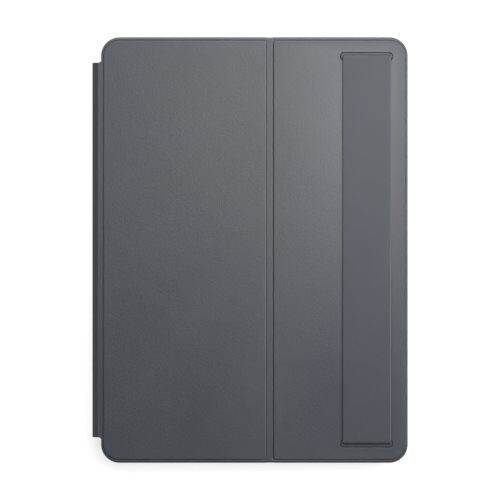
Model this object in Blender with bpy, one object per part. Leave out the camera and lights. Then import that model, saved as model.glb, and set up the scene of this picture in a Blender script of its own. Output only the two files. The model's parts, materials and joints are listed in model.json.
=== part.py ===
"""Folio case for an 11-inch tablet, closed and lying on its back.

+X points to the free edge of the cover, +Y to its top and +Z out of its front face. The origin is at the
middle of the back face. All sizes are in metres.

A moulded tray holds the tablet. A creased spine joins it to a front cover of two stiff panels, with a
folding strip between them and an elastic strap across the outer panel.
"""

import math

import bmesh
import bpy

MM = 0.001
GAP = 0.1 * MM  # from a crease's axis to the pieces on either side of it
CLEARANCE = 0.3 * MM  # round a piece that sits in a pocket
BOARD_CLEARANCE = 0.4 * MM  # between a panel's board and the skin round it
CUT_PAST = 1.0 * MM  # how far a cutter runs past the face that it opens
CORNER_STEPS = 8
BEND_STEPS = 4
ROUND_END = 0.98  # a round end's radius, as a share of half its width
SHARP_ANGLE = math.radians(35)
BEVEL_SEGMENTS = 3

# Cover outline
COVER_X0, COVER_X1 = -88.85 * MM, 94.15 * MM
COVER_HALF_Y = 127.0 * MM
COVER_RADIUS = 11.0 * MM
RIM_X, RIM_Y = 1.6 * MM, 2.2 * MM  # width of the low rim at the sides, and at the top and bottom

# Heights, from the back face up
BACK_SKIN_TOP = 0.6 * MM
SHELL_BOTTOM = 0.8 * MM
SHELL_FLOOR = 2.2 * MM
TRAY_LINING_Z = (2.4 * MM, 2.8 * MM)
LIP_BOTTOM = 9.8 * MM
SHELL_TOP = 10.5 * MM
LINING_Z = (10.7 * MM, 11.1 * MM)
SKIN_EDGE_BOTTOM = 11.3 * MM
BOARD_Z = (11.4 * MM, 12.5 * MM)
RIM_TOP = 12.7 * MM
SKIN_UNDERSIDE = 12.8 * MM
PLATEAU_TOP = 13.4 * MM

# Rounded edges, as (height, inset) rings from the bottom up
SHELL_RINGS = (
    (SHELL_BOTTOM, 0.7 * MM),
    (1.2 * MM, 0.3 * MM),
    (2.0 * MM, 0),
    (9.7 * MM, 0),
    (10.25 * MM, 0.25 * MM),
    (SHELL_TOP, 0.7 * MM),
)
COVER_EDGE_RINGS = (
    (SKIN_EDGE_BOTTOM, 0.3 * MM),
    (11.55 * MM, 0),
    (12.2 * MM, 0),
    (12.55 * MM, 0.2 * MM),
    (RIM_TOP, 0.6 * MM),
)
PLATEAU_RINGS = (
    (12.0 * MM, 0),
    (13.1 * MM, 0.05 * MM),
    (13.3 * MM, 0.15 * MM),
    (PLATEAU_TOP, 0.4 * MM),
)
CAMERA_RING_RINGS = (
    (0.1 * MM, 0.25 * MM),
    (0.4 * MM, 0),
    (SHELL_FLOOR, 0),
)

# Hinge flap and spine
CREASE_X = -90.96 * MM
SPINE_X0 = -94.15 * MM
SPINE_HALF_Y = 111.8 * MM
FACET_DROP = 3.2 * MM
FLAP_FILLET = 1.8 * MM
FLAP_LAP = 3.4 * MM  # how far the flap runs in under the panel it joins
SKIN = 0.6 * MM
LINING = 0.4 * MM
SPINE_LINING_X = -92.15 * MM
SPINE_BOARD_X = (-93.35 * MM, -92.35 * MM)
SPINE_LINING_SETBACK = 1.2 * MM
SPINE_BENDS = (0.8 * MM, 0.4 * MM)  # the skin's bends, outside and inside
SPINE_LINING_BENDS = (0.5 * MM, 0.3 * MM)
SPINE_LINING_INSET = 0.5 * MM  # at the spine's two ends
SPINE_BOARD_INSET_Y, SPINE_BOARD_INSET_Z = 2.0 * MM, 0.8 * MM

# Fold between the two panels: one crease at each wall of the groove
FOLD_X0, FOLD_X1 = 9.6 * MM, 14.07 * MM
FOLD_CORNER = 1.8 * MM
FOLD_EDGE = 0.1 * MM  # the cover edge's corner radius at the fold
FOLD_STRIP_INSET = 0.2 * MM
FOLD_LINING_Z = (11.5 * MM, 11.9 * MM)

# Panel linings
LINING_INSET, LINING_FOLD_INSET = 0.8 * MM, 0.1 * MM
LINING_FOLD_CORNER = 0.4 * MM
LINING_FLAP_INSET = 0.3 * MM

# Tray
TRAY_INSET = 0.6 * MM
TRAY_X0, TRAY_X1 = COVER_X0 + TRAY_INSET, COVER_X1 - TRAY_INSET
TRAY_HALF_Y = COVER_HALF_Y - TRAY_INSET
TRAY_RADIUS = COVER_RADIUS - TRAY_INSET
TRAY_MIDDLE_X = (TRAY_X0 + TRAY_X1) / 2
TABLET_HALF_X, TABLET_HALF_Y = 89.25 * MM, 124.0 * MM
BAY_RADIUS = 8.0 * MM
LIP = 1.0 * MM
BACK_SKIN_INSET = 0.2 * MM
TRAY_LINING_INSET = 0.4 * MM

# Cut-outs of the tray
CAMERA_CENTRE = (70.0 * MM, 106.0 * MM)
CAMERA_HALF = (16.0 * MM, 12.0 * MM)
CAMERA_RADIUS = 7.0 * MM
CAMERA_RING_WALL = 1.6 * MM
CAMERA_CUT_Z = (-1.0 * MM, 4.0 * MM)
CAMERA_LINING_CLEARANCE = 0.2 * MM
PORT_HALF_X, PORT_Z = 6.5 * MM, (3.4 * MM, 8.6 * MM)
SPEAKER_OFFSET_X, SPEAKER_HALF_X, SPEAKER_Z = 52.0 * MM, 11.0 * MM, (5.0 * MM, 7.4 * MM)
BUTTON_Z = (5.0 * MM, 7.6 * MM)
POWER_X = (54.0 * MM, 70.0 * MM)
VOLUME_Y = (72.0 * MM, 96.0 * MM)
BUTTON_PROUD = 0.45 * MM
BUTTON_DEPTH = 1.3 * MM
BUTTON_CLEARANCE = 0.4 * MM
BUTTON_BEVEL = 0.35 * MM

# Strap and the slots that its ends go into
STRAP_X = (55.2 * MM, 84.1 * MM)
STRAP_HALF_Y = 116.2 * MM
STRAP_Z = (13.7 * MM, 14.5 * MM)
STRAP_LEG, STRAP_LEG_BOTTOM = 0.8 * MM, 13.25 * MM
STRAP_BEND = 0.35 * MM
SLOT_X, SLOT_Y = 69.5 * MM, 115.5 * MM
SLOT_HALF_X, SLOT_HALF_Y = 15.8 * MM, 2.33 * MM
ANCHOR_Z = (12.0 * MM, 12.95 * MM)
ANCHOR_POCKET_BOTTOM = 11.8 * MM
ANCHOR_POCKET_GROW = 0.1 * MM

# Magnets: half sizes across X and Y
CLOSURE_MAGNET = (1.6 * MM, 9.0 * MM)
CLOSURE_MAGNET_X, CLOSURE_MAGNET_PITCH = 87.9 * MM, 70.0 * MM
WAKE_MAGNET, WAKE_MAGNET_CENTRE = (5.0 * MM, 3.0 * MM), (34.0 * MM, 98.0 * MM)
PANEL_MAGNET_Z = (11.6 * MM, 12.4 * MM)
TRAY_MAGNET = (3.0 * MM, 10.0 * MM)
TRAY_MAGNET_X, TRAY_MAGNET_PITCH = -36.0 * MM, 70.0 * MM
TRAY_MAGNET_Z = (0.95 * MM, 1.65 * MM)
TRAY_MAGNET_POCKET_TOP = 1.8 * MM
MAGNET_CORNER, MAGNET_POCKET_CORNER = 0.8 * MM, 1.0 * MM
MAGNET_WINDOW_Z = (11.0 * MM, 13.0 * MM)

# Joint axes, as (x, y, z) points on them
AXES = {
    "rear_hinge": (CREASE_X, 0, 0),
    "front_hinge": (CREASE_X, 0, RIM_TOP),
    "fold_main_side": (FOLD_X0, 0, RIM_TOP),
    "fold_free_side": (FOLD_X1, 0, RIM_TOP),
    "strap_lift": (SLOT_X, 0, STRAP_Z[0]),
    "power_press": (sum(POWER_X) / 2, TRAY_HALF_Y, sum(BUTTON_Z) / 2),
    "volume_press": (TRAY_X1, sum(VOLUME_Y) / 2, sum(BUTTON_Z) / 2),
}
AXIS_PARENTS = {
    "front_hinge": "rear_hinge",
    "fold_main_side": "front_hinge",
    "fold_free_side": "fold_main_side",
    "strap_lift": "fold_free_side",
}


def clear_scene():
    for obj in list(bpy.data.objects):
        bpy.data.objects.remove(obj, do_unlink=True)


def material(name, colour, roughness, metallic=0.0):
    made = bpy.data.materials.new(name)
    made.use_nodes = True
    shader = made.node_tree.nodes["Principled BSDF"]
    shader.inputs["Base Color"].default_value = (*colour, 1.0)
    shader.inputs["Roughness"].default_value = roughness
    shader.inputs["Metallic"].default_value = metallic
    return made


def make_axes():
    """An empty on each joint's axis, nested as the bodies are."""
    empties = {}
    for name, point in AXES.items():
        empty = bpy.data.objects.new(f"{name}_axis", None)
        empty.empty_display_size = 10 * MM
        parent = AXIS_PARENTS.get(name)
        base = AXES[parent] if parent else (0, 0, 0)
        empty.location = [a - b for a, b in zip(point, base)]
        empty.parent = empties[parent] if parent else None
        bpy.context.scene.collection.objects.link(empty)
        empties[name] = empty
    return empties


# Outlines and solids


def rounded_outline(x0, x1, y0, y1, radii):
    """A rectangle's outline, anticlockwise. Radii run lower left, lower right, upper right, upper left."""
    corners = ((x0, y0, 1, 1, 180), (x1, y0, -1, 1, 270), (x1, y1, -1, -1, 0), (x0, y1, 1, -1, 90))
    points = []
    for (x, y, inward_x, inward_y, start), radius in zip(corners, radii):
        for step in range(CORNER_STEPS + 1):
            turn = math.radians(start + 90 * step / CORNER_STEPS)
            points.append(
                (
                    x + radius * (inward_x + math.cos(turn)),
                    y + radius * (inward_y + math.sin(turn)),
                )
            )
    return points


def centred_outline(centre, half, radius):
    (x, y), (half_x, half_y) = centre, half
    return rounded_outline(x - half_x, x + half_x, y - half_y, y + half_y, [radius] * 4)


def from_bmesh(name, shape, look):
    bmesh.ops.recalc_face_normals(shape, faces=shape.faces)
    mesh = bpy.data.meshes.new(name)
    shape.to_mesh(mesh)
    shape.free()
    mesh.shade_smooth()
    mesh.set_sharp_from_angle(angle=SHARP_ANGLE)
    obj = bpy.data.objects.new(name, mesh)
    bpy.context.scene.collection.objects.link(obj)
    if look:
        mesh.materials.append(look)
    return obj


def loft(name, rings, look=None):
    """A solid through a stack of (outline, z) rings that have the same number of points."""
    shape = bmesh.new()
    loops = [[shape.verts.new((x, y, z)) for x, y in outline] for outline, z in rings]
    count = len(loops[0])
    for lower, upper in zip(loops, loops[1:]):
        for i in range(count):
            j = (i + 1) % count
            shape.faces.new((lower[i], lower[j], upper[j], upper[i]))
    shape.faces.new(loops[0])
    shape.faces.new(loops[-1])
    return from_bmesh(name, shape, look)


def plate(name, outline, z, look=None):
    return loft(name, [(outline, z[0]), (outline, z[1])], look)


def extrusion(name, profile, start, end, look=None):
    """A closed profile drawn out from one (x, y, z) offset to another."""
    shape = bmesh.new()
    ends = [
        [shape.verts.new([a + b for a, b in zip(point, offset)]) for point in profile]
        for offset in (start, end)
    ]
    count = len(profile)
    for i in range(count):
        j = (i + 1) % count
        shape.faces.new((ends[0][i], ends[0][j], ends[1][j], ends[1][i]))
    for loop in ends:
        shape.faces.new(loop)
    return from_bmesh(name, shape, look)


def block(name, x, y, z, look=None, bevel=0.0):
    corners = [(x[0], y[0], 0), (x[1], y[0], 0), (x[1], y[1], 0), (x[0], y[1], 0)]
    obj = extrusion(name, corners, (0, 0, z[0]), (0, 0, z[1]), look)
    if bevel:
        rounding = obj.modifiers.new("edges", "BEVEL")
        rounding.width = bevel
        rounding.segments = BEVEL_SEGMENTS
    return obj


def combine(obj, other, operation):
    """Cuts a helper from a piece, or joins it on, and hides the helper."""
    step = obj.modifiers.new(other.name, "BOOLEAN")
    step.operation = operation
    step.solver = "EXACT"
    step.object = other
    other.hide_render = True
    other.display_type = "WIRE"


def attach(obj, empties, joint):
    """Parents a piece to its joint's axis without moving it."""
    obj.parent = empties[joint]
    obj.location = [-a for a in AXES[joint]]


# Tray


def tray_outline(inset):
    radius = TRAY_RADIUS - inset
    return rounded_outline(
        TRAY_X0 + inset, TRAY_X1 - inset, -TRAY_HALF_Y + inset, TRAY_HALF_Y - inset, [radius] * 4
    )


def bay_outline(inset):
    half = (TABLET_HALF_X + CLEARANCE - inset, TABLET_HALF_Y + CLEARANCE - inset)
    return centred_outline((TRAY_MIDDLE_X, 0), half, BAY_RADIUS - inset)


def camera_cutter(name, grow=0.0):
    half = [size + grow for size in CAMERA_HALF]
    return plate(name, centred_outline(CAMERA_CENTRE, half, CAMERA_RADIUS + grow), CAMERA_CUT_Z)


def make_back_skin(look):
    skin = plate("tray_back_skin", tray_outline(BACK_SKIN_INSET), (0, BACK_SKIN_TOP), look)
    combine(skin, flap("back_skin_flap", (0, BACK_SKIN_TOP)), "UNION")
    combine(skin, camera_cutter("back_skin_camera_cut"), "DIFFERENCE")


def make_shell(look):
    shell = loft("tray_shell", [(tray_outline(inset), z) for z, inset in SHELL_RINGS], look)
    combine(shell, plate("bay_cut", bay_outline(0), (SHELL_FLOOR, LIP_BOTTOM)), "DIFFERENCE")
    mouth = plate("bay_mouth_cut", bay_outline(LIP), (LIP_BOTTOM - CLEARANCE, SHELL_TOP + CUT_PAST))
    combine(shell, mouth, "DIFFERENCE")
    combine(shell, camera_cutter("shell_camera_cut"), "DIFFERENCE")
    wall_y = (TABLET_HALF_Y - CUT_PAST, TRAY_HALF_Y + CUT_PAST)
    port_x = (TRAY_MIDDLE_X - PORT_HALF_X, TRAY_MIDDLE_X + PORT_HALF_X)
    cut_through_wall(shell, "port_cut", port_x, (-wall_y[1], -wall_y[0]), PORT_Z)
    for end, y in (("bottom", (-wall_y[1], -wall_y[0])), ("top", wall_y)):
        for side, sign in (("left", -1), ("right", 1)):
            if (end, side) == ("top", "right"):
                continue
            x = TRAY_MIDDLE_X + sign * SPEAKER_OFFSET_X
            span = (x - SPEAKER_HALF_X, x + SPEAKER_HALF_X)
            cut_through_wall(shell, f"speaker_{end}_{side}_cut", span, y, SPEAKER_Z)
    button_z = (BUTTON_Z[0] - BUTTON_CLEARANCE, BUTTON_Z[1] + BUTTON_CLEARANCE)
    power_x = (POWER_X[0] - BUTTON_CLEARANCE, POWER_X[1] + BUTTON_CLEARANCE)
    cut_through_wall(shell, "power_cut", power_x, wall_y, button_z)
    wall_x = (TRAY_MIDDLE_X + TABLET_HALF_X - CUT_PAST, TRAY_X1 + CUT_PAST)
    volume_y = (VOLUME_Y[0] - BUTTON_CLEARANCE, VOLUME_Y[1] + BUTTON_CLEARANCE)
    cut_through_wall(shell, "volume_cut", wall_x, volume_y, button_z)
    for i, centre in enumerate(tray_magnet_centres(), 1):
        half = [size + CLEARANCE for size in TRAY_MAGNET]
        pocket = centred_outline(centre, half, MAGNET_POCKET_CORNER)
        cutter = plate(f"tray_magnet_pocket_{i}", pocket, (0, TRAY_MAGNET_POCKET_TOP))
        combine(shell, cutter, "DIFFERENCE")


def cut_through_wall(shell, name, x, y, z):
    combine(shell, block(name, x, y, z), "DIFFERENCE")


def make_tray_lining(look):
    lining = plate("tray_lining", bay_outline(TRAY_LINING_INSET), TRAY_LINING_Z, look)
    combine(lining, camera_cutter("lining_camera_cut", CAMERA_LINING_CLEARANCE), "DIFFERENCE")


def make_camera_ring(look):
    half = [size - CLEARANCE for size in CAMERA_HALF]
    radius = CAMERA_RADIUS - CLEARANCE
    rings = []
    for z, inset in CAMERA_RING_RINGS:
        outline = centred_outline(CAMERA_CENTRE, [size - inset for size in half], radius - inset)
        rings.append((outline, z))
    ring = loft("camera_ring", rings, look)
    inner = [size - CAMERA_RING_WALL for size in half]
    hole = centred_outline(CAMERA_CENTRE, inner, radius - CAMERA_RING_WALL)
    combine(ring, plate("camera_ring_cut", hole, CAMERA_CUT_Z), "DIFFERENCE")


def magnet(name, centre, half, z, look):
    return plate(name, centred_outline(centre, half, MAGNET_CORNER), z, look)


def tray_magnet_centres():
    return [(TRAY_MAGNET_X, row * TRAY_MAGNET_PITCH) for row in (-1, 0, 1)]


def make_tray_magnets(look):
    for i, centre in enumerate(tray_magnet_centres(), 1):
        magnet(f"tray_magnet_{i}", centre, TRAY_MAGNET, TRAY_MAGNET_Z, look)


def make_buttons(empties, look):
    face_y = TRAY_HALF_Y + BUTTON_PROUD
    power_y = (face_y - BUTTON_DEPTH, face_y)
    power = block("power_button_cap", POWER_X, power_y, BUTTON_Z, look, BUTTON_BEVEL)
    attach(power, empties, "power_press")
    face_x = TRAY_X1 + BUTTON_PROUD
    volume_x = (face_x - BUTTON_DEPTH, face_x)
    volume = block("volume_button_cap", volume_x, VOLUME_Y, BUTTON_Z, look, BUTTON_BEVEL)
    attach(volume, empties, "volume_press")


# Hinge flap and spine


def flap(name, z, inset=0.0):
    """The strip beside a panel's left edge, up to the crease, with filleted inner corners."""
    half_y = SPINE_HALF_Y - inset
    edge = COVER_X0 + TRAY_INSET
    reach = FLAP_FILLET + TRAY_INSET
    upper = [(CREASE_X + GAP + inset, half_y)]
    for step in range(CORNER_STEPS + 1):
        turn = math.radians(90 * step / CORNER_STEPS)
        upper.append((edge - reach * (1 - math.sin(turn)), half_y + reach * (1 - math.cos(turn))))
    upper.append((edge + FLAP_LAP, half_y + reach))
    lower = [(x, -y) for x, y in reversed(upper)]
    return plate(name, upper + lower, z)


def toward(start, end, distance):
    """The point at a distance from start on the way to end."""
    share = distance / math.dist(start, end)
    return [a + share * (b - a) for a, b in zip(start, end)]


def rounded_path(points, radius):
    """A polyline whose inner corners are curves that start and end a radius away from them."""
    path = [points[0]]
    for before, corner, after in zip(points, points[1:], points[2:]):
        near, far = toward(corner, before, radius), toward(corner, after, radius)
        for step in range(BEND_STEPS + 1):
            t = step / BEND_STEPS
            shares = ((1 - t) ** 2, 2 * t * (1 - t), t**2)
            path.append([sum(s * c for s, c in zip(shares, axis)) for axis in zip(near, corner, far)])
    return path + [points[-1]]


def spine_bend(wall_x, setback, radius):
    """The spine's line in (x, z) from the front crease round to the rear one."""
    end_x = CREASE_X - GAP
    top, bottom = RIM_TOP - GAP - setback, GAP + setback
    drop = end_x - wall_x
    points = [(end_x, top), (wall_x, top - drop), (wall_x, bottom + drop), (end_x, bottom)]
    return rounded_path(points, radius)


def spine_band(name, outer, inner, half_y, look):
    profile = [(x, 0, z) for x, z in outer + inner[::-1]]
    return extrusion(name, profile, (0, -half_y, 0), (0, half_y, 0), look)


def make_spine(empties, skin_look, lining_look, board_look):
    thick = SKIN * math.sqrt(2)
    skin = spine_band(
        "spine_outer_skin",
        spine_bend(SPINE_X0, 0, SPINE_BENDS[0]),
        spine_bend(SPINE_X0 + SKIN, thick, SPINE_BENDS[1]),
        SPINE_HALF_Y,
        skin_look,
    )
    deeper = SPINE_LINING_SETBACK + LINING * math.sqrt(2)
    lining = spine_band(
        "spine_lining",
        spine_bend(SPINE_LINING_X, SPINE_LINING_SETBACK, SPINE_LINING_BENDS[0]),
        spine_bend(SPINE_LINING_X + LINING, deeper, SPINE_LINING_BENDS[1]),
        SPINE_HALF_Y - SPINE_LINING_INSET,
        lining_look,
    )
    board_bottom = FACET_DROP + SPINE_BOARD_INSET_Z
    board_z = (board_bottom, RIM_TOP - board_bottom)
    board_half_y = SPINE_HALF_Y - SPINE_BOARD_INSET_Y
    board_y = (-board_half_y, board_half_y)
    board = block("spine_board", SPINE_BOARD_X, board_y, board_z, board_look)
    for obj in (skin, lining, board):
        attach(obj, empties, "rear_hinge")


# Cover panels


def panel_outline(side, inset, fold_inset, fold_radius, inset_y=None):
    """One panel's outline, inset from the cover's edge and, by fold_inset, from its crease at the fold."""
    radius = COVER_RADIUS - inset
    y = COVER_HALF_Y - (inset if inset_y is None else inset_y)
    if side == "main":
        ends = (COVER_X0 + inset, FOLD_X0 - GAP - fold_inset)
        return rounded_outline(*ends, -y, y, (radius, fold_radius, fold_radius, radius))
    ends = (FOLD_X1 + GAP + fold_inset, COVER_X1 - inset)
    return rounded_outline(*ends, -y, y, (fold_radius, radius, radius, fold_radius))


def inside_rim(side, inset, fold_inset):
    """One plateau's outline, inset from where the low rim ends."""
    return panel_outline(side, RIM_X + inset, fold_inset, FOLD_CORNER, RIM_Y + inset)


def make_outer_skin(side, look):
    """The turned edge at rim height and the raised plateau, hollow underneath for the board."""
    edge = [(panel_outline(side, inset, 0, FOLD_EDGE), z) for z, inset in COVER_EDGE_RINGS]
    skin = loft(f"{side}_outer_skin", edge, look)
    raised = [(inside_rim(side, inset, inset), z) for z, inset in PLATEAU_RINGS]
    combine(skin, loft(f"{side}_plateau", raised), "UNION")
    if side == "main":
        combine(skin, flap("main_skin_flap", (SKIN_EDGE_BOTTOM, RIM_TOP)), "UNION")
    hollow = inside_rim(side, SKIN, SKIN)
    cutter = plate(f"{side}_hollow", hollow, (SKIN_EDGE_BOTTOM - CUT_PAST, SKIN_UNDERSIDE))
    combine(skin, cutter, "DIFFERENCE")
    return skin


def make_lining(side, look):
    outline = panel_outline(side, LINING_INSET, LINING_FOLD_INSET, LINING_FOLD_CORNER)
    lining = plate(f"{side}_lining", outline, LINING_Z, look)
    if side == "main":
        combine(lining, flap("main_lining_flap", LINING_Z, LINING_FLAP_INSET), "UNION")
    return lining


def make_board(side, look):
    inset = SKIN + BOARD_CLEARANCE
    return plate(f"{side}_board", inside_rim(side, inset, inset), BOARD_Z, look)


def make_main_panel(empties, skin_look, lining_look, board_look):
    for obj in (
        make_outer_skin("main", skin_look),
        make_lining("main", lining_look),
        make_board("main", board_look),
    ):
        attach(obj, empties, "front_hinge")


def make_fold_strip(empties, skin_look, lining_look):
    x = (FOLD_X0 + GAP, FOLD_X1 - GAP)
    half_y = COVER_HALF_Y - FOLD_STRIP_INSET
    y = (-half_y, half_y)
    for obj in (
        block("fold_strip_skin", x, y, (RIM_TOP - SKIN, RIM_TOP), skin_look),
        block("fold_strip_lining", x, y, FOLD_LINING_Z, lining_look),
    ):
        attach(obj, empties, "fold_main_side")


def slot_outline(end, shrink):
    half = (SLOT_HALF_X - shrink, SLOT_HALF_Y - shrink)
    return centred_outline((SLOT_X, end * SLOT_Y), half, half[1] * ROUND_END)


def make_free_panel(empties, skin_look, lining_look, board_look, magnet_look, anchor_look):
    skin = make_outer_skin("free", skin_look)
    board = make_board("free", board_look)
    pieces = [skin, board, make_lining("free", lining_look)]
    for end, name in ((1, "top"), (-1, "bottom")):
        slot_z = (RIM_TOP - SKIN, PLATEAU_TOP + CUT_PAST)
        slot = plate(f"slot_{name}_cut", slot_outline(end, 0), slot_z)
        combine(skin, slot, "DIFFERENCE")
        pocket_z = (ANCHOR_POCKET_BOTTOM, RIM_TOP)
        pocket = plate(f"anchor_{name}_pocket", slot_outline(end, -ANCHOR_POCKET_GROW), pocket_z)
        combine(board, pocket, "DIFFERENCE")
        anchor = slot_outline(end, CLEARANCE)
        pieces.append(plate(f"strap_anchor_{name}", anchor, ANCHOR_Z, anchor_look))
    places = [
        (f"closure_magnet_{i}", (CLOSURE_MAGNET_X, row * CLOSURE_MAGNET_PITCH), CLOSURE_MAGNET)
        for i, row in enumerate((-1, 0, 1), 1)
    ]
    places.append(("wake_magnet", WAKE_MAGNET_CENTRE, WAKE_MAGNET))
    for name, centre, half in places:
        grown = [size + CLEARANCE for size in half]
        window = centred_outline(centre, grown, MAGNET_POCKET_CORNER)
        combine(board, plate(f"{name}_window", window, MAGNET_WINDOW_Z), "DIFFERENCE")
        pieces.append(magnet(name, centre, half, PANEL_MAGNET_Z, magnet_look))
    for obj in pieces:
        attach(obj, empties, "fold_free_side")


def make_strap(empties, look):
    """A flat band whose two ends turn down into the slots."""
    bottom, top = STRAP_Z
    half = [
        (STRAP_HALF_Y - STRAP_LEG, bottom),
        (STRAP_HALF_Y - STRAP_LEG, STRAP_LEG_BOTTOM),
        (STRAP_HALF_Y, STRAP_LEG_BOTTOM),
    ]
    bend_y, bend_z = STRAP_HALF_Y - STRAP_BEND, top - STRAP_BEND
    for step in range(BEND_STEPS + 1):
        turn = math.radians(90 * step / BEND_STEPS)
        half.append((bend_y + STRAP_BEND * math.cos(turn), bend_z + STRAP_BEND * math.sin(turn)))
    profile = [(0, y, z) for y, z in half] + [(0, -y, z) for y, z in reversed(half)]
    strap = extrusion("strap_band", profile, (STRAP_X[0], 0, 0), (STRAP_X[1], 0, 0), look)
    attach(strap, empties, "strap_lift")


def main():
    clear_scene()
    skin = material("soft_touch_skin", (0.105, 0.115, 0.135), 0.55)
    strap = material("strap_skin", (0.085, 0.093, 0.11), 0.65)
    shell = material("moulded_shell", (0.035, 0.037, 0.042), 0.5)
    lining = material("microfibre", (0.13, 0.135, 0.145), 0.95)
    board = material("stiffener_board", (0.02, 0.02, 0.02), 0.8)
    steel = material("nickel_plate", (0.6, 0.6, 0.58), 0.3, 1.0)
    trim = material("camera_trim", (0.02, 0.021, 0.024), 0.35)
    empties = make_axes()
    make_back_skin(skin)
    make_shell(shell)
    make_tray_lining(lining)
    make_camera_ring(trim)
    make_tray_magnets(steel)
    make_buttons(empties, shell)
    make_spine(empties, skin, lining, board)
    make_main_panel(empties, skin, lining, board)
    make_fold_strip(empties, skin, lining)
    make_free_panel(empties, skin, lining, board, steel, trim)
    make_strap(empties, strap)


main()
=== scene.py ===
"""The looks of a tablet folio case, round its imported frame: skins, creases, strap, tray and linings."""

import json
import math

import bmesh
import bpy
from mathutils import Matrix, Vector


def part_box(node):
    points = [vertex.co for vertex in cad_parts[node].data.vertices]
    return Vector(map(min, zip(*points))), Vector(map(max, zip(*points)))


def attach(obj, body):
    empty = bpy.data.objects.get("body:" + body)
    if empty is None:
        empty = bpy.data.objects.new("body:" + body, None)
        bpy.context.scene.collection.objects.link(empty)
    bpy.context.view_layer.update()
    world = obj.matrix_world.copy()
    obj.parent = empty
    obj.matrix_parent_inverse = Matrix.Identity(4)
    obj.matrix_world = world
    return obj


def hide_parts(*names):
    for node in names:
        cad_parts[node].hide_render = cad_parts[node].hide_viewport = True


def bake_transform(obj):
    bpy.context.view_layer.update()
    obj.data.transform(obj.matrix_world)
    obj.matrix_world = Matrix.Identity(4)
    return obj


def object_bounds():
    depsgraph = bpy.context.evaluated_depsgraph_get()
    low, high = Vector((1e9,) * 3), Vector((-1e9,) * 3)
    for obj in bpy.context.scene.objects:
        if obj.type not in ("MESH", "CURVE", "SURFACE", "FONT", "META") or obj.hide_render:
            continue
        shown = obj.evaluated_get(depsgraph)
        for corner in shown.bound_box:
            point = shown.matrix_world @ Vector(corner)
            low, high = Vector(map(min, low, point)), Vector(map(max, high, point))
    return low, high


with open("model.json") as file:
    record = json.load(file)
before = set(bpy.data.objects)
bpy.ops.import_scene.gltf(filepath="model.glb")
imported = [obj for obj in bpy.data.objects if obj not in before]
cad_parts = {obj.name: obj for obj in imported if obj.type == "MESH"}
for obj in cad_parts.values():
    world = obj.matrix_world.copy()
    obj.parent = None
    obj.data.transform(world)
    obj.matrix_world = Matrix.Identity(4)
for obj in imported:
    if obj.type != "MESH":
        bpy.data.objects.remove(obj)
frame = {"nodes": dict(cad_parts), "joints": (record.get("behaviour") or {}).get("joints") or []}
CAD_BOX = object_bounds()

MM = 0.001

# Places, all read from the frame
MAIN_LOW, MAIN_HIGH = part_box("main_outer_skin")
SPINE_LOW, SPINE_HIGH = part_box("spine_outer_skin")
BACK_LOW, BACK_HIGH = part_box("tray_back_skin")
STRAP_LOW, STRAP_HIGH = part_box("strap_band")
SHELL_LOW, SHELL_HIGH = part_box("tray_shell")
TRAY_LINING_LOW, TRAY_LINING_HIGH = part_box("tray_lining")
PANEL_LINING_LOW, PANEL_LINING_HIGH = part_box("main_lining")
SPINE_LINING_LOW, SPINE_LINING_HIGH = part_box("spine_lining")
RING_LOW, RING_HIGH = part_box("camera_ring")
JOINTS = {joint["name"]: joint for joint in frame["joints"]}

CREASE_X = JOINTS["rear_hinge"]["pos_m"][0]
FOLD_X0 = JOINTS["fold_main_side"]["pos_m"][0]
FOLD_X1 = JOINTS["fold_free_side"]["pos_m"][0]
RIM_TOP = JOINTS["front_hinge"]["pos_m"][2]
PLATEAU_TOP = MAIN_HIGH.z
SKIN_BOTTOM = MAIN_LOW.z
COVER_X1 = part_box("free_outer_skin")[1].x
COVER_HALF_Y = MAIN_HIGH.y
SPINE_HALF_Y = SPINE_HIGH.y
SPINE_X0 = SPINE_LOW.x

# Shapes that the frame's boxes don't give
COVER_X0 = CREASE_X + 2.11 * MM  # the cover's edge beside the spine
COVER_RADIUS = 11 * MM
RIM_X, RIM_Y = 1.6 * MM, 2.2 * MM  # the low rim round the plateau, on the long and the short sides
PLATEAU_RADIUS = 1.8 * MM
GAP = 0.1 * MM  # from a panel's skin to the fold's crease
SKIN = 0.6 * MM
LINING = 0.4 * MM
FACET_DROP = 3.2 * MM  # from the spine's crease down to its flat wall
FLAP_END = CREASE_X + 0.7 * MM  # where a panel's flap ends and the crease begins
FACET_SPLIT = 0.9 * MM  # how far a crease reaches along the spine's facet
SEAM = 0.35 * MM  # how far a fold's creased pieces reach past their crease, into the panel
SLOT_CLEARANCE = 0.3 * MM  # from a slot's pad to its edge
BAY_MARGIN = 0.4 * MM  # from the tray lining's edge to the bay's wall
BAY_RADIUS = 8 * MM
LIP = 1.0 * MM  # how far the lip hangs over the bay
CAMERA_RADIUS = 7 * MM
CAMERA_CLEARANCE = 0.3 * MM
RING_WALL = 1.6 * MM
PORT_HALF = (6.5 * MM, 2.6 * MM)
PORT_Z = 6.0 * MM
SPEAKER_HALF = (11.0 * MM, 1.2 * MM)
SPEAKER_OFFSET, SPEAKER_Z = 52.0 * MM, 6.2 * MM
BUTTON_WINDOW = 0.4 * MM  # clearance round a button's cap

# How the shapes are made
CORNER_STEPS = 20
ROUND_END = 0.98  # a round end's radius, as a share of the half height
CUT_PAST = 1 * MM  # how far a cutter goes past the face that it opens
EASE = 0.12 * MM  # the rounding along a band's ends
CREASE_SPACING, FOLD_SPACING = 0.12 * MM, 0.15 * MM
SHARP_ANGLE = math.radians(50)  # edges sharper than this aren't smoothed
WEAR_ANGLE = math.radians(30)  # edges this sharp are fully worn


# Outlines and solids


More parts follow.
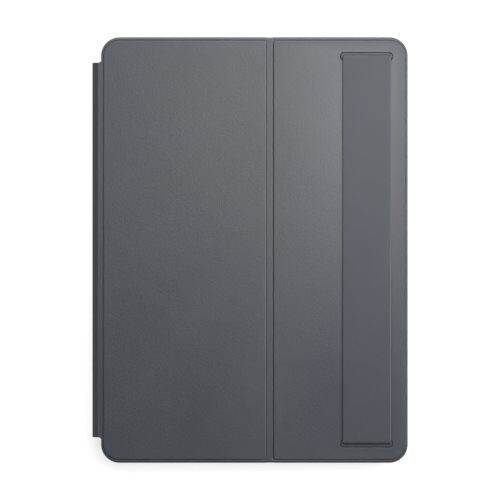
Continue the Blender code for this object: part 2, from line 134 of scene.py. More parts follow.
def outline(x0, x1, y0, y1, radii, steps=CORNER_STEPS):
    """A rectangle's outline, anticlockwise from the lower left, with elliptical corners (rx, ry)."""
    corners = ((x0, y0, 1, 1, 180), (x1, y0, -1, 1, 270), (x1, y1, -1, -1, 0), (x0, y1, 1, -1, 90))
    points = []
    for (x, y, inward_x, inward_y, start), (rx, ry) in zip(corners, radii):
        for step in range(steps + 1):
            turn = math.radians(start + 90 * step / steps)
            points.append((x + rx * (inward_x + math.cos(turn)), y + ry * (inward_y + math.sin(turn))))
    return points


def arc(centre, radius, start, end, steps):
    """Points (u, v) on an arc, angles in degrees."""
    points = []
    for step in range(steps + 1):
        turn = math.radians(start + (end - start) * step / steps)
        points.append((centre[0] + radius * math.cos(turn), centre[1] + radius * math.sin(turn)))
    return points


def mesh_object(name, shape):
    bmesh.ops.recalc_face_normals(shape, faces=shape.faces)
    mesh = bpy.data.meshes.new(name)
    shape.to_mesh(mesh)
    shape.free()
    mesh.shade_smooth()
    obj = bpy.data.objects.new(name, mesh)
    bpy.context.scene.collection.objects.link(obj)
    return obj


def sweep(name, sections):
    """A solid through sections, each a closed list of (x, y, z) points and all of the same number."""
    shape = bmesh.new()
    loops = [[shape.verts.new(point) for point in section] for section in sections]
    count = len(loops[0])
    for first, second in zip(loops, loops[1:]):
        for i in range(count):
            j = (i + 1) % count
            shape.faces.new((first[i], first[j], second[j], second[i]))
    shape.faces.new(loops[0])
    shape.faces.new(loops[-1])
    return mesh_object(name, shape)


def loft(name, rings):
    """A solid through level rings, each an (outline, z)."""
    return sweep(name, [[(x, y, z) for x, y in points] for points, z in rings])


def apply_boolean(obj, other, operation):
    """Joins on or cuts away a helper solid, then removes the helper."""
    step = obj.modifiers.new("step", "BOOLEAN")
    step.operation = operation
    step.solver = "EXACT"
    step.object = other
    graph = bpy.context.evaluated_depsgraph_get()
    graph.update()
    made = bpy.data.meshes.new_from_object(obj.evaluated_get(graph))
    obj.modifiers.clear()
    obj.data = made
    bpy.data.objects.remove(other, do_unlink=True)


def mark_wear(obj, seam=None):
    """Stores how sharply convex the surface is at each vertex, for the edge wear in the materials.

    A seam is an (axis, place) plane where two pieces meet, so edges that lie in it count as flat.
    """
    flush = 0.01 * MM
    shape = bmesh.new()
    shape.from_mesh(obj.data)
    values = []
    for vert in shape.verts:
        sharpest = 0.0
        for edge in vert.link_edges:
            if seam and all(abs(end.co[seam[0]] - seam[1]) < flush for end in edge.verts):
                continue
            sharpest = max(sharpest, edge.calc_face_angle_signed(0.0))
        values.append(min(sharpest / WEAR_ANGLE, 1.0))
    shape.free()
    attribute = obj.data.attributes.new("wear", "FLOAT", "POINT")
    attribute.data.foreach_set("value", values)


def complete(obj, look, seam=None):
    """Smooth shading, the wear attribute and the material."""
    obj.data.shade_smooth()
    obj.data.set_sharp_from_angle(angle=SHARP_ANGLE)
    mark_wear(obj, seam)
    return dress(obj, look)


def fit(piece, look, body, node):
    """Completes a piece that rides on one body and stands for one CAD node."""
    complete(piece, look)
    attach(piece, body)
    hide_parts(node)


# Materials


class Nodes:
    """A short way to write a material's nodes. Scales are in cells or waves to the metre."""

    def __init__(self, name):
        self.material = bpy.data.materials.new(name)
        self.material.use_nodes = True
        self.tree = self.material.node_tree
        self.shader = self.tree.nodes["Principled BSDF"]
        self.position = self.add("ShaderNodeTexCoord").outputs["Object"]

    def add(self, kind, links=None, **settings):
        node = self.tree.nodes.new(kind)
        for key, value in settings.items():
            setattr(node, key, value)
        for socket, value in (links or {}).items():
            self.put(node.inputs[socket], value)
        return node

    def put(self, socket, value):
        if isinstance(value, bpy.types.NodeSocket):
            self.tree.links.new(value, socket)
        else:
            socket.default_value = value

    def noise(self, scale, detail=3.0, roughness=0.5, stretch=(1, 1, 1)):
        placed = self.add("ShaderNodeMapping", {"Vector": self.position, "Scale": stretch})
        links = {"Vector": placed.outputs[0], "Scale": scale, "Detail": detail, "Roughness": roughness}
        return self.add("ShaderNodeTexNoise", links).outputs[0]

    def cells(self, scale):
        links = {"Vector": self.position, "Scale": scale}
        return self.add("ShaderNodeTexVoronoi", links).outputs["Distance"]

    def ramp(self, value, low, high, low_value=0.0, high_value=1.0):
        links = {0: value, 1: low, 2: high, 3: low_value, 4: high_value}
        return self.add("ShaderNodeMapRange", links).outputs[0]

    def maths(self, operation, a, b):
        return self.add("ShaderNodeMath", {0: a, 1: b}, operation=operation).outputs[0]

    def mix(self, factor, a, b):
        node = self.add("ShaderNodeMix", data_type="RGBA")
        self.put(node.inputs[0], factor)
        self.put(node.inputs[6], a)
        self.put(node.inputs[7], b)
        return node.outputs[2]

    def wear(self):
        return self.add("ShaderNodeAttribute", attribute_name="wear").outputs["Fac"]

    def bump(self, height, distance):
        return self.add("ShaderNodeBump", {"Height": height, "Distance": distance}).outputs[0]

    def finish(self, **inputs):
        """Fills the shader's sockets, named in small letters with _ for a space."""
        for socket, value in inputs.items():
            self.put(self.shader.inputs[socket.replace("_", " ").title().replace("Ior", "IOR")], value)
        return self.material


def shade(colour, factor):
    return tuple(channel * factor for channel in colour) + (1.0,)


def soft_touch(name, colour, rough, gloss, grain_scale, grain_height):
    """Smooth synthetic leather: fine pebble grain, slow mottling, a matt coat, and edges rubbed lighter."""
    n = Nodes(name)
    speckling, rubbing, fine_grain, polish = 0.35, 0.22, 0.6, 0.10
    mottling = n.ramp(n.noise(38.0, 4.0), 0.3, 0.7)
    speckle = n.ramp(n.noise(900.0, 2.0), 0.35, 0.65)
    base = n.mix(mottling, shade(colour, 0.94), shade(colour, 1.06))
    base = n.mix(n.maths("MULTIPLY", speckle, speckling), base, shade(colour, 1.12))
    base = n.mix(n.maths("MULTIPLY", n.wear(), rubbing), base, shade(colour, 2.2))
    pebbles = n.ramp(n.cells(grain_scale), 0.0, 0.8, 1.0, 0.0)
    height = n.maths("ADD", pebbles, n.maths("MULTIPLY", n.noise(grain_scale * 2.6, 3.0), fine_grain))
    smudge = n.ramp(n.noise(22.0, 3.0), 0.3, 0.7, rough - 0.03, rough + 0.03)
    smooth_edge = n.maths("MULTIPLY", n.wear(), polish)
    return n.finish(
        base_color=base,
        roughness=n.maths("SUBTRACT", smudge, smooth_edge),
        sheen_weight=0.02,
        sheen_roughness=0.5,
        specular_ior_level=gloss,
        normal=n.bump(height, grain_height),
    )


def moulded(name, colour, rough):
    """Satin moulded elastomer with a fine spark-eroded texture."""
    n = Nodes(name)
    cloud = n.ramp(n.noise(30.0, 3.0), 0.3, 0.7)
    base = n.mix(cloud, shade(colour, 0.92), shade(colour, 1.08))
    base = n.mix(n.maths("MULTIPLY", n.wear(), 0.3), base, shade(colour, 1.9))
    texture = n.noise(2600.0, 3.0, 0.6)
    return n.finish(
        base_color=base,
        roughness=n.ramp(n.noise(55.0, 4.0), 0.3, 0.7, rough - 0.05, rough + 0.05),
        normal=n.bump(texture, 0.00003),
    )


def microfibre(name, colour):
    """Short napped cloth: brushed patches, fibre fuzz and a soft sheen."""
    n = Nodes(name)
    patches = n.ramp(n.noise(45.0, 5.0, 0.6), 0.3, 0.7)
    fibres = n.ramp(n.noise(2200.0, 4.0, 0.7, (1, 0.35, 1)), 0.3, 0.7)
    base = n.mix(patches, shade(colour, 0.95), shade(colour, 1.05))
    base = n.mix(n.maths("MULTIPLY", fibres, 0.6), base, shade(colour, 1.5))
    return n.finish(
        base_color=base,
        roughness=n.ramp(fibres, 0.0, 1.0, 0.85, 1.0),
        sheen_weight=0.35,
        sheen_roughness=0.4,
        specular_ior_level=0.2,
        normal=n.bump(fibres, 0.00012),
    )


def fibre_board(name, colour):
    """Pressed fibres that lie along the board."""
    n = Nodes(name)
    flecks = n.ramp(n.noise(700.0, 4.0, 0.6, (1, 0.2, 1)), 0.35, 0.65)
    base = n.mix(flecks, shade(colour, 0.8), shade(colour, 1.5))
    return n.finish(
        base_color=base,
        roughness=n.ramp(flecks, 0.0, 1.0, 0.75, 0.9),
        normal=n.bump(flecks, 0.00005),
    )


def nickel(name, colour):
    """Plated metal with fine drawn streaks."""
    n = Nodes(name)
    streaks = n.ramp(n.noise(900.0, 3.0, 0.5, (1, 0.05, 1)), 0.3, 0.7)
    base = n.mix(streaks, shade(colour, 0.9), shade(colour, 1.08))
    return n.finish(
        base_color=base,
        metallic=1.0,
        roughness=n.ramp(streaks, 0.0, 1.0, 0.22, 0.36),
        normal=n.bump(streaks, 0.00001),
    )


def pale_floor(name, colour, glow):
    """A light table: a pale surface that is lit softly from below."""
    n = Nodes(name)
    base = n.mix(n.ramp(n.noise(2.0, 2.0), 0.3, 0.7), shade(colour, 0.995), shade(colour, 1.0))
    return n.finish(
        base_color=base,
        roughness=0.9,
        specular_ior_level=0.0,
        emission_color=(1.0, 1.0, 1.0, 1.0),
        emission_strength=glow,
    )


SKIN_COLOUR = (0.0104, 0.0120, 0.0150)
STRAP_COLOUR = (0.0135, 0.0155, 0.0190)
MATERIALS = {
    "skin": soft_touch("soft_touch_skin", SKIN_COLOUR, 0.43, 0.3, 1500.0, 0.00004),
    "hinge": soft_touch("hinge_skin", SKIN_COLOUR, 0.6, 0.24, 1500.0, 0.00004),
    "strap": soft_touch("strap_skin", STRAP_COLOUR, 0.46, 0.18, 2100.0, 0.00003),
    "shell": moulded("moulded_shell", (0.022, 0.024, 0.028), 0.48),
    "lining": microfibre("microfibre", (0.060, 0.064, 0.072)),
    "board": fibre_board("stiffener_board", (0.02, 0.02, 0.02)),
    "magnet": nickel("nickel_plate", (0.6, 0.6, 0.58)),
    "trim": moulded("camera_trim", (0.014, 0.015, 0.017), 0.3),
}


def dress(obj, look):
    obj.data.materials.clear()
    obj.data.materials.append(MATERIALS[look])
    return obj


# Cover panels


def edge_profile():
    """Rows of (x inset, y inset, fold inset, fold radius, z), from the cover's underside to its plateau."""
    sharp, soft = 0.05 * MM, PLATEAU_RADIUS
    under, over, over_x, over_y = 0.35 * MM, 0.7 * MM, 0.75 * MM, 1.25 * MM
    rows = [(u, u, 0, sharp, z) for u, z in arc((under, SKIN_BOTTOM + under), under, 270, 180, 4)]
    for u, z in arc((over, RIM_TOP - over), over, 180, 90, 10):
        rows.append((u * over_x / over, u * over_y / over, 0, sharp, z))
    foot, fold_step, soft_from = 0.70 * MM, 0.004 * MM, 0.05
    # The pinched foot, as (away from its start, rise above the rim) in mm
    pinch = ((-0.02, 0.0), (0.12, -0.04), (0.24, -0.12), (0.36, -0.15), (0.43, -0.04), (0.46, 0.12))
    for i, (away, rise) in enumerate(pinch, 1):
        radius = sharp if rise < soft_from else soft
        inset_x, inset_y = RIM_X - foot + away * MM, RIM_Y - foot + away * MM
        rows.append((inset_x, inset_y, i * fold_step, radius, RIM_TOP + rise * MM))
    crest, lean, crest_fold, flat_from = 0.25 * MM, 0.13 * MM, 0.03 * MM, 0.7 * MM
    for turn, z in arc((0, PLATEAU_TOP - crest), crest, 180, 90, 5):
        away = crest + turn
        rows.append((RIM_X - lean + away, RIM_Y - lean + away, crest_fold + away, soft, z))
    rows.append((RIM_X + flat_from, RIM_Y + flat_from, flat_from, soft, PLATEAU_TOP))
    return rows


def panel_outline(side, x_inset, y_inset, fold_inset, fold_radius):
    """A panel seen from above, with the cover's corners outside and small ones beside the fold."""
    outer = (COVER_RADIUS - x_inset, COVER_RADIUS - y_inset)
    inner = (fold_radius, fold_radius)
    y = COVER_HALF_Y - y_inset
    if side == "main":
        ends = (COVER_X0 + x_inset, FOLD_X0 - GAP - fold_inset)
        return outline(*ends, -y, y, (outer, inner, inner, outer))
    ends = (FOLD_X1 + GAP + fold_inset, COVER_X1 - x_inset)
    return outline(*ends, -y, y, (inner, outer, outer, inner))


def flap_outline(end_x, inset=0.0):
    """The strip beside the cover's left edge, out to end_x, with filleted inner corners."""
    half_y = SPINE_HALF_Y - inset
    edge, inside = COVER_X0 + 0.25 * MM, COVER_X0 + 3.4 * MM
    reach = 2.0 * MM
    fillet = arc((edge - reach, half_y + reach), reach, 270, 360, 10)
    upper = [(end_x, half_y)] + fillet + [(inside, half_y + reach)]
    return [(x, -y) for x, y in upper] + upper[::-1]


def panel_skin(side):
    """A panel's skin, hollow under its plateau, with the hinge flap on the main one."""
    flap_rise = 0.05 * MM
    rings = [(panel_outline(side, ix, iy, f, r), z) for ix, iy, f, r, z in edge_profile()]
    skin = loft(f"{side}_panel_skin", rings)
    if side == "main":
        flap_z = (SKIN_BOTTOM + flap_rise, RIM_TOP)
        apply_boolean(skin, loft("flap", [(flap_outline(FLAP_END), z) for z in flap_z]), "UNION")
    hollow = panel_outline(side, RIM_X + SKIN, RIM_Y + SKIN, SKIN, PLATEAU_RADIUS)
    hollow_z = (SKIN_BOTTOM - CUT_PAST, PLATEAU_TOP - SKIN)
    apply_boolean(skin, loft("hollow", [(hollow, z) for z in hollow_z]), "DIFFERENCE")
    return skin


def slot_outline(end, shrink):
    """The strap's slot at the top (1) or bottom (-1) end, shrunk all round."""
    round_end = 0.99
    low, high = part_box("strap_anchor_top")
    centre_x, centre_y = (low.x + high.x) / 2, end * (low.y + high.y) / 2
    half_x = (high.x - low.x) / 2 + SLOT_CLEARANCE - shrink
    half_y = (high.y - low.y) / 2 + SLOT_CLEARANCE - shrink
    corner = [(half_y * round_end, half_y * round_end)] * 4
    return outline(centre_x - half_x, centre_x + half_x, centre_y - half_y, centre_y + half_y, corner)


def cut_slot(skin, end):
    """A slot with a rolled edge, through the free panel's skin."""
    roll, flare, above, below = 0.3 * MM, 0.36 * MM, 0.2 * MM, 1.0 * MM
    rings = [(slot_outline(end, 0), PLATEAU_TOP - below)]
    for u, v in arc((-roll, PLATEAU_TOP - roll), roll, 0, 80, 6):
        rings.append((slot_outline(end, u), v))
    rings.append((slot_outline(end, -flare), PLATEAU_TOP + above))
    apply_boolean(skin, loft("slot", rings), "DIFFERENCE")


def slot_insert(name, end):
    """The pad that shows as a slot's floor, with a rolled edge."""
    low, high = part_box(name)
    edge, support = 0.35 * MM, 0.4 * MM
    rings = [(slot_outline(end, SLOT_CLEARANCE), low.z)]
    for u, v in arc((SLOT_CLEARANCE + edge, high.z - edge), edge, 180, 90, 5):
        rings.append((slot_outline(end, u), v))
    rings.append((slot_outline(end, SLOT_CLEARANCE + edge + support), high.z))
    return loft(f"{name}_pad", rings)


def make_panels():
    main, free = panel_skin("main"), panel_skin("free")
    slots = (("strap_anchor_top", 1), ("strap_anchor_bottom", -1))
    for _, end in slots:
        cut_slot(free, end)
    fit(main, "skin", "main_panel", "main_outer_skin")
    fit(free, "skin", "free_panel", "free_outer_skin")
    for name, end in slots:
        fit(slot_insert(name, end), "skin", "free_panel", name)


# Spine and creases


def rounded(points, radius, steps=5):
    """A polyline (u, v) with its inner corners rounded."""
    path = [points[0]]
    for before, corner, after in zip(points, points[1:], points[2:]):
        start = toward(corner, before, radius)
        end = toward(corner, after, radius)
        for step in range(steps + 1):
            t = step / steps
            weights = ((1 - t) ** 2, 2 * t * (1 - t), t * t)
            places = zip(start, corner, end)
            path.append(tuple(sum(w * p for w, p in zip(weights, place)) for place in places))
    return path + [points[-1]]


def between(point, target, share):
    return tuple(a + (b - a) * share for a, b in zip(point, target))


def toward(point, target, distance):
    """The point moved by a distance toward the target, and always less than half way."""
    most = 0.45
    return between(point, target, min(distance / math.dist(point, target), most))


def resampled(path, spacing):
    """The path with points no further apart than the spacing."""
    points = [path[0]]
    for a, b in zip(path, path[1:]):
        count = max(1, math.ceil(math.dist(a, b) / spacing))
        points += [tuple(p + (q - p) * i / count for p, q in zip(a, b)) for i in range(1, count + 1)]
    return points


def offset(path, distance):
    """The path moved sideways, to its left for a positive distance."""
    moved = []
    for i, point in enumerate(path):
        before, after = path[max(i - 1, 0)], path[min(i + 1, len(path) - 1)]
        du, dv = after[0] - before[0], after[1] - before[1]
        length = math.hypot(du, dv)
        moved.append((point[0] - dv / length * distance, point[1] + du / length * distance))
    return moved


def strip(name, path, thickness, half_y, edge=EASE):
    """A solid that follows a path in (x, z), thickened to its left, and runs along y with eased ends."""
    other = offset(path, thickness)
    support = 5 * edge
    sections = []
    ends = [(half_y, edge), (half_y - edge, 0), (half_y - support, 0)]
    for y, ease in [(-y, ease) for y, ease in ends] + ends[::-1]:
        share = ease / thickness
        near = [between(p, q, share) for p, q in zip(path, other)]
        far = [between(q, p, share) for p, q in zip(path, other)]
        sections.append([(x, y, z) for x, z in near + far[::-1]])
    return sweep(name, sections)


def band(name, path, thickness, half_y, look, edge=EASE, seam=None):
    """A strip with its shading, wear and material. For a seam, see mark_wear."""
    return complete(strip(name, path, thickness, half_y, edge), look, seam)


def crease(name, points, radius, thickness, half_y, look):
    """A band that turns across a crease, from a flap round to the spine, over the same width in skin and
    lining.
    """
    path = resampled(rounded(points, radius), CREASE_SPACING)
    piece = band(name, path, thickness, half_y, look)
    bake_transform(piece)


def facet_point(top, distance):
    """A point on the spine's front or rear facet, at a distance along x from the crease."""
    z = RIM_TOP - distance if top else distance
    return (CREASE_X - distance, z)


def lining_path():
    """The lining's outer line from the front flap, round inside the spine, to the rear flap."""
    turn_front, turn_rear = CREASE_X - 0.35 * MM, CREASE_X + 0.27 * MM
    clearance = 0.05 * MM
    rear_z = BACK_HIGH.z + clearance
    wall_x = SPINE_LINING_LOW.x
    front = [(FLAP_END, PANEL_LINING_HIGH.z), (turn_front, PANEL_LINING_HIGH.z)]
    front.append((wall_x, PANEL_LINING_HIGH.z - (turn_front - wall_x)))
    rear = [(wall_x, rear_z + (turn_rear - wall_x)), (turn_rear, rear_z), (FLAP_END, rear_z)]
    return front, rear


def close_spine_ends(spine, outer, inner):
    """Turns the skin in at the spine's two ends, so that the board doesn't show."""
    depth, setback = 0.6 * MM, 0.15 * MM
    loop = outer + inner[::-1]
    for end in (1, -1):
        y = (end * (SPINE_HALF_Y - setback), end * (SPINE_HALF_Y - setback - depth))
        closure = sweep("closure", [[(x, place, z) for x, z in loop] for place in y])
        apply_boolean(spine, closure, "UNION")


def make_spine():
    wall_bend, skin_bend, lining_bend = 0.9 * MM, 0.35 * MM, 0.5 * MM
    wall_spacing, flap_spacing, overlap = 1 * MM, 0.5 * MM, 0.05 * MM
    skin_y, lining_y = SPINE_HALF_Y, SPINE_LINING_HIGH.y

    corners = [(SPINE_X0, RIM_TOP - FACET_DROP), (SPINE_X0, FACET_DROP)]
    front_split, rear_split = facet_point(True, FACET_SPLIT), facet_point(False, FACET_SPLIT)
    front, rear = lining_path()
    inside = [front[-1], rear[0]]
    wall = rounded([front_split, *corners, rear_split], wall_bend)
    spine = strip("spine_skin", wall, SKIN, skin_y)
    close_spine_ends(spine, offset(wall, SKIN / 2), inside)
    fit(spine, "hinge", "spine", "spine_outer_skin")

    front_line = [(FLAP_END, RIM_TOP), (CREASE_X, RIM_TOP), front_split]
    rear_line = [rear_split, (CREASE_X, 0), (FLAP_END, 0)]
    crease("front_crease_skin", front_line, skin_bend, SKIN, skin_y, "hinge")
    crease("rear_crease_skin", rear_line, skin_bend, SKIN, skin_y, "hinge")
    crease("front_crease_lining", front, lining_bend, LINING, lining_y, "lining")
    crease("rear_crease_lining", rear, lining_bend, LINING, lining_y, "lining")

    fit(
        strip("spine_lining_strip", resampled(inside, wall_spacing), LINING, lining_y),
        "lining", "spine", "spine_lining",
    )
    flap_line = [rear[-1], (SHELL_LOW.x + overlap, rear[-1][1])]
    flap = band("rear_flap_lining", resampled(flap_line, flap_spacing), LINING, lining_y, "lining")
    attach(flap, "tray")


def fold_floor(side):
    """Half of the groove's floor as an outer line from right to left, pinched down along the panel's wall."""
    middle = (FOLD_X0 + FOLD_X1) / 2
    slope_start, slope_end, bend = 0.12 * MM, 0.62 * MM, 0.2 * MM
    wall, away, depth = (FOLD_X0, 1, 0.12 * MM) if side == "main" else (FOLD_X1, -1, 0.32 * MM)
    rise = [(-SEAM, -depth), (slope_start, -depth), (slope_end, 0)]
    line = [(wall + away * u, RIM_TOP + v) for u, v in rise] + [(middle, RIM_TOP)]
    return resampled(rounded(line[::-away], bend), FOLD_SPACING)


def make_fold_strip():
    """The fold's skin and lining, each in two halves that reach from a panel's edge to the strip's middle."""
    middle = (FOLD_X0 + FOLD_X1) / 2
    reach, back = 1.3 * MM, 0.25 * MM
    setback, skin_edge = 0.12 * MM, 0.3 * MM
    top = PANEL_LINING_HIGH.z
    halves = (
        ("main", ("main_panel", "fold_strip"), FOLD_X0 - SEAM, middle, FOLD_X0 - back, FOLD_X0 + reach),
        ("free", ("fold_strip", "free_panel"), middle, FOLD_X1 + SEAM, FOLD_X1 - reach, FOLD_X1 + back),
    )
    for side, bodies, low_x, high_x, start_x, end_x in halves:
        name, line, half_y = f"fold_skin_{side}_side", fold_floor(side), COVER_HALF_Y - setback
        skin = band(name, line, SKIN, half_y, "skin", skin_edge, (0, middle))
        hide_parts("fold_strip_skin")
        name, line = f"fold_lining_{side}_side", resampled([(high_x, top), (low_x, top)], FOLD_SPACING)
        lining = band(name, line, LINING, PANEL_LINING_HIGH.y, "lining", seam=(0, middle))
        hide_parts("fold_strip_lining")
        for piece in (skin, lining):
            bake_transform(piece)


# Strap


def make_strap():
    """Two halves that meet at the middle, each running along the raised band and turning down into its slot.
    """
    width = STRAP_HIGH.x - STRAP_LOW.x
    centre_x = (STRAP_HIGH.x + STRAP_LOW.x) / 2
    thickness = 0.8 * MM
    middle_z = STRAP_HIGH.z - thickness / 2
    lifted_from, spacing, clearance = 18 * MM, 3 * MM, 0.05 * MM
    leg_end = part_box("strap_anchor_top")[1].z + clearance
    corner = [(0.8 * MM, 0.38 * MM)] * 4
    profile = outline(-width / 2, width / 2, -thickness / 2, thickness / 2, corner, 12)
    # Each half's end along y, its bend's radius, and how much further out than the CAD's leg it turns down
    for name, end, bend, further in (
        ("strap_top_half", 1, 0.8 * MM, 0.4 * MM),
        ("strap_bottom_half", -1, 1.05 * MM, -0.3 * MM),
    ):
        leg_y = STRAP_HIGH.y - thickness / 2 + further
        path = resampled([(0, middle_z), (leg_y - bend, middle_z)], spacing)
        path += arc((leg_y - bend, middle_z - bend), bend, 90, 0, 10)[1:]
        path.append((leg_y, leg_end))
        sections = []
        for i, (y, z) in enumerate(path):
            before, after = path[max(i - 1, 0)], path[min(i + 1, len(path) - 1)]
            length = math.dist(before, after)
            ny, nz = -(after[1] - before[1]) / length, (after[0] - before[0]) / length
            sections.append([(centre_x + u, end * (y + ny * v), z + nz * v) for u, v in profile])
        strap = complete(sweep(name, sections), "strap", (1, 0.0))
        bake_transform(strap)
        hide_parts("strap_band")


# Tray


def box_outline(low, high, grow, radius):
    """The outline of a (low, high) box seen from above, grown all round."""
    corner = [(radius, radius)] * 4
    return outline(low.x - grow, high.x + grow, low.y - grow, high.y + grow, corner)


def prism(outlined, z):
    """A helper solid between two heights."""
    return loft("cutter", [(outlined, z[0]), (outlined, z[1])])


def camera_window(grow=0.0):
    """A cutter through the back's skin, the tray's floor and its lining."""
    above = 4 * MM
    window = box_outline(RING_LOW, RING_HIGH, CAMERA_CLEARANCE + grow, CAMERA_RADIUS + grow)
    return prism(window, (-CUT_PAST, above))


def make_back_skin():
    margin = COVER_X1 - BACK_HIGH.x
    x0, x1, half_y = COVER_X0 + margin, BACK_HIGH.x, BACK_HIGH.y
    roll, ease, support = 0.3 * MM, 0.1 * MM, 0.4 * MM
    profile = [(roll + support, 0)] + arc((roll, roll), roll, 270, 180, 5)
    profile += [(0, BACK_HIGH.z - ease), (ease, BACK_HIGH.z), (ease + support, BACK_HIGH.z)]
    rings = []
    for u, z in profile:
        corner = (COVER_RADIUS - margin - u, COVER_RADIUS - margin - u)
        rings.append((outline(x0 + u, x1 - u, -half_y + u, half_y - u, [corner] * 4), z))
    skin = loft("back_skin", rings)
    apply_boolean(skin, prism(flap_outline(FLAP_END), (BACK_LOW.z, BACK_HIGH.z)), "UNION")
    apply_boolean(skin, camera_window(), "DIFFERENCE")
    fit(skin, "skin", "tray", "tray_back_skin")


def bay_cutter():
    """The tablet's space: a filleted floor, straight walls, and a rolled lip that hangs over them.

    Each step is an inset, in shares of the lip, and a rise above the lining, in mm.
    """
    steps = (
        (0.5, -0.6), (0.15, -0.45), (0.0, -0.1), (0.0, 6.4), (0.5, 6.95), (1.0, 7.05), (1.0, 7.35),
        (0.85, 7.6), (0.6, 7.9),
    )
    rings = []
    for inset, rise in steps:
        grow, radius = BAY_MARGIN - inset * LIP, BAY_RADIUS - inset * LIP
        ring = box_outline(TRAY_LINING_LOW, TRAY_LINING_HIGH, grow, radius)
        rings.append((ring, TRAY_LINING_HIGH.z + rise * MM))
    return loft("bay", rings)


def upright(flat, centre, depth, along):
    """A flat outline (u, v) stood up: u runs along x (0) or y (1), and the depth is on the other axis."""
    section = []
    for u, v in flat:
        point = [0, 0, centre[2] + v]
        point[along], point[1 - along] = centre[along] + u, depth
        section.append(tuple(point))
    return section


def wall_cutter(centre, half, along):
    """A round-ended cutter through a wall along x (0) or y (1), from its half length and half height."""
    reach, steps = 3 * MM, 8
    corner = [(half[1] * ROUND_END, half[1] * ROUND_END)] * 4
    hole = outline(-half[0], half[0], -half[1], half[1], corner, steps)
    face = centre[1 - along]
    return sweep("hole", [upright(hole, centre, face + depth, along) for depth in (-reach, reach)])


def button_window(name, along):
    low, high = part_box(name)
    half = ((high[along] - low[along]) / 2 + BUTTON_WINDOW, (high.z - low.z) / 2 + BUTTON_WINDOW)
    return wall_cutter((low + high) / 2, half, along)


def make_shell():
    """The moulded tray: bay, camera window, port, speaker slots, button windows and magnet pockets."""
    margin = COVER_X1 - SHELL_HIGH.x
    base, lip = 1.2 * MM, 0.7 * MM
    pocket_gap, pocket_radius, pocket_above = 0.3 * MM, 1 * MM, 0.15 * MM
    profile = arc((base, SHELL_LOW.z + base), base, 270, 180, 8)
    profile += arc((lip, SHELL_HIGH.z - lip), lip, 180, 90, 8)
    rings = [(box_outline(SHELL_LOW, SHELL_HIGH, -u, COVER_RADIUS - margin - u), z) for u, z in profile]
    shell = loft("tray_moulding", rings)
    middle_x = (SHELL_LOW.x + SHELL_HIGH.x) / 2
    wall_y = SHELL_HIGH.y
    cutters = [bay_cutter(), camera_window()]
    cutters.append(wall_cutter((middle_x, -wall_y, PORT_Z), PORT_HALF, 0))
    for side, end in ((-1, -1), (1, -1), (-1, 1)):
        place = (middle_x + side * SPEAKER_OFFSET, end * wall_y, SPEAKER_Z)
        cutters.append(wall_cutter(place, SPEAKER_HALF, 0))
    cutters += [button_window("power_button_cap", 0), button_window("volume_button_cap", 1)]
    for name in ("tray_magnet_1", "tray_magnet_2", "tray_magnet_3"):
        low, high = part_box(name)
        pocket = box_outline(low, high, pocket_gap, pocket_radius)
        cutters.append(prism(pocket, (0, high.z + pocket_above)))
    for cutter in cutters:
        apply_boolean(shell, cutter, "DIFFERENCE")
    fit(shell, "shell", "tray", "tray_shell")


def make_camera_ring():
    """A trim ring with a rounded outer edge and a bevelled opening."""
    edge, flare, past = 0.3 * MM, 0.5 * MM, 0.15 * MM
    radius = CAMERA_RADIUS - CAMERA_CLEARANCE

    def turned(name, profile):
        return loft(name, [(box_outline(RING_LOW, RING_HIGH, -u, radius - u), z) for u, z in profile])

    outside = arc((edge, RING_LOW.z + edge), edge, 270, 180, 5) + [(0, RING_HIGH.z)]
    opening = (
        (RING_WALL - flare - past, RING_LOW.z - past),
        (RING_WALL, RING_LOW.z + flare),
        (RING_WALL, RING_HIGH.z + CUT_PAST),
    )
    ring = turned("camera_trim_ring", outside)
    apply_boolean(ring, turned("hole", opening), "DIFFERENCE")
    fit(ring, "trim", "tray", "camera_ring")


def make_button(name, body, along):
    """A round-ended cap with a crowned face, on a wall that runs along x (0) or y (1)."""
    low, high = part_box(name)
    half_u, half_v = (high[along] - low[along]) / 2, (high.z - low.z) / 2
    crown, steps = 0.35 * MM, 8
    depths = [(0.0, low[1 - along])] + arc((crown, high[1 - along] - crown), crown, 180, 90, 6)
    sections = []
    for inset, depth in depths:
        corner = [(half_v * ROUND_END - inset, half_v * ROUND_END - inset)] * 4
        face = outline(-half_u + inset, half_u - inset, -half_v + inset, half_v - inset, corner, steps)
        sections.append(upright(face, (low + high) / 2, depth, along))
    fit(sweep(f"{name}_moulding", sections), "shell", body, name)


def sheet(name, outlined, z):
    """A lining with eased edges, flat from its inner rings on. The outline is a function of an inset."""
    ease, support = 0.1 * MM, 0.4 * MM
    low, high = z
    rows = [(support, low), (ease, low), (0, low + ease), (0, high - ease), (ease, high), (support, high)]
    return loft(name, [(outlined(inset), place) for inset, place in rows])


def tray_lining_outline(inset):
    return box_outline(TRAY_LINING_LOW, TRAY_LINING_HIGH, -inset, BAY_RADIUS - BAY_MARGIN - inset)


def panel_lining_outline(side, inset):
    margin, radius, fold_share = 0.8 * MM, 0.05 * MM, 0.1
    away = margin + inset
    return panel_outline(side, away, away, SEAM - GAP + inset * fold_share, radius)


def make_linings():
    window_gap, flap_inset = 0.2 * MM, 0.5 * MM
    z = (PANEL_LINING_LOW.z, PANEL_LINING_HIGH.z)
    tray = sheet("tray_floor_lining", tray_lining_outline, (TRAY_LINING_LOW.z, TRAY_LINING_HIGH.z))
    apply_boolean(tray, camera_window(window_gap), "DIFFERENCE")
    main = sheet("main_panel_lining", lambda inset: panel_lining_outline("main", inset), z)
    apply_boolean(main, prism(flap_outline(FLAP_END, flap_inset), z), "UNION")
    free = sheet("free_panel_lining", lambda inset: panel_lining_outline("free", inset), z)
    fit(tray, "lining", "tray", "tray_lining")
    fit(main, "lining", "main_panel", "main_lining")
    fit(free, "lining", "free_panel", "free_lining")


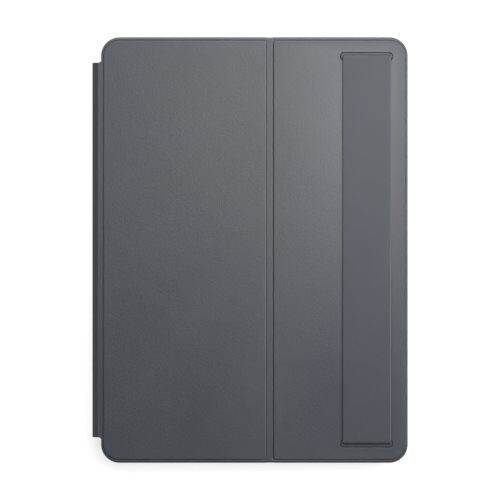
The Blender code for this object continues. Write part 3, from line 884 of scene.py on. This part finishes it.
def dress_carried():
    """The boards and magnets keep their CAD shapes, under a better material."""
    for name, node in frame["nodes"].items():
        for look in ("board", "magnet"):
            if look in name:
                node.data.materials.clear()
                node.data.materials.append(MATERIALS[look])


# Studio


FLOOR_SIZE, FLOOR_COLOUR, FLOOR_GLOW = 4.0, (0.16, 0.16, 0.16), 0.75
WORLD_STRENGTH = 0.36
CAMERA_DISTANCE, SEEN_WIDTH = 2.5, 0.2983

# Each light: its name, place, target, width and height, and power
LIGHTS = (
    ("key", (0.10, 0.155, 0.40), (0.10, 0.155, 0), (0.30, 0.30), 2.3),
    ("top_left_fill", (-0.45, 1.15, 1.0), (0, 0, 0), (1.0, 1.0), 44.0),
    ("top_right_fill", (0.7, 1.0, 1.0), (0, 0, 0), (1.0, 1.0), 18.0),
    ("right_fill", (1.0, 0.05, 0.8), (0, 0, 0), (0.6, 0.6), 36.0),
)


def make_floor():
    shape = bmesh.new()
    bmesh.ops.create_grid(shape, x_segments=1, y_segments=1, size=FLOOR_SIZE)
    floor = mesh_object("floor", shape)
    floor.data.materials.append(pale_floor("pale_floor", FLOOR_COLOUR, FLOOR_GLOW))


def make_light(name, place, target, size, power):
    data = bpy.data.lights.new(name, "AREA")
    data.shape = "RECTANGLE"
    data.size, data.size_y = size
    data.energy = power
    light = bpy.data.objects.new(name, data)
    bpy.context.scene.collection.objects.link(light)
    light.location = place
    light.rotation_euler = (Vector(target) - Vector(place)).to_track_quat("-Z", "Y").to_euler()
    light.visible_camera = False


def make_studio():
    """A small light over the upper right corner, two large ones beyond the top, and one on the right."""
    make_floor()
    world = bpy.data.worlds.new("studio")
    world.use_nodes = True
    background = world.node_tree.nodes["Background"]
    background.inputs["Color"].default_value = (1, 1, 1, 1)
    background.inputs["Strength"].default_value = WORLD_STRENGTH
    bpy.context.scene.world = world
    for light in LIGHTS:
        make_light(*light)


def make_camera():
    """Straight above the case, looking down, with the seen width measured at the cover's rim."""
    data = bpy.data.cameras.new("camera")
    camera = bpy.data.objects.new("camera", data)
    bpy.context.scene.collection.objects.link(camera)
    data.sensor_width = 36
    data.lens = data.sensor_width * CAMERA_DISTANCE / SEEN_WIDTH
    data.clip_end = 20
    low, high = CAD_BOX
    camera.location = ((low.x + high.x) / 2, (low.y + high.y) / 2, RIM_TOP + CAMERA_DISTANCE)
    bpy.context.scene.camera = camera
    bpy.context.scene.view_settings.view_transform = "Standard"


make_camera()
make_studio()
make_panels()
make_spine()
make_fold_strip()
make_strap()
make_back_skin()
make_shell()
make_camera_ring()
make_button("power_button_cap", "power_button", 0)
make_button("volume_button_cap", "volume_button", 1)
make_linings()
dress_carried()
